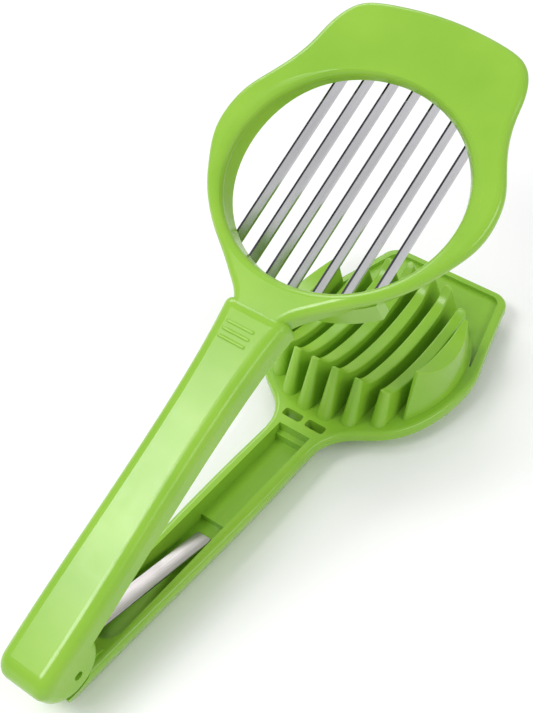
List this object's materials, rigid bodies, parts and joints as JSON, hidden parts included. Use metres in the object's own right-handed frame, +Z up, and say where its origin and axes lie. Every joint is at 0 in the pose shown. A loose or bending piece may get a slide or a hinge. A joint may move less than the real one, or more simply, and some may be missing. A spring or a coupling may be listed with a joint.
{
  "type": "egg slicer",
  "caption": "Hand-held egg slicer: a ring of parallel steel blades hinges down through a slotted egg cup and springs back open.",
  "frame": {"origin": "centre of the bounding box at the level of the base, jaws open as stored", "axes": "+X from the hinge towards the tip, +Y along the hinge pin, +Z up"},
  "size_m": [0.1796, 0.076, 0.101],
  "materials": {
    "green_plastic": "smooth glossy moulded lime-green plastic",
    "blade_steel": "bright rolled stainless strip, ground lower edge",
    "spring_steel": "satin rolled strip",
    "pin_green": "smooth moulded pin end"
  },
  "bodies": {
    "lower": {"lower_jaw": "green_plastic", "leaf_spring": "spring_steel"},
    "upper": {"upper_frame": "green_plastic", "hinge_pin": "pin_green", "blade_1": "blade_steel", "blade_2": "blade_steel", "blade_3": "blade_steel", "blade_4": "blade_steel", "blade_5": "blade_steel", "blade_6": "blade_steel", "blade_7": "blade_steel"}
  },
  "joints": [
    {"name": "jaw_hinge", "type": "hinge", "parent": "lower", "child": "upper", "pos_m": [-0.07938, 0, 0.014], "axis": [0, 1, 0], "range_deg": [0, 27.4], "stiffness_Nm_per_rad": 0.8, "springref_deg": -20.05, "deforming": ["leaf_spring"]}
  ]
}
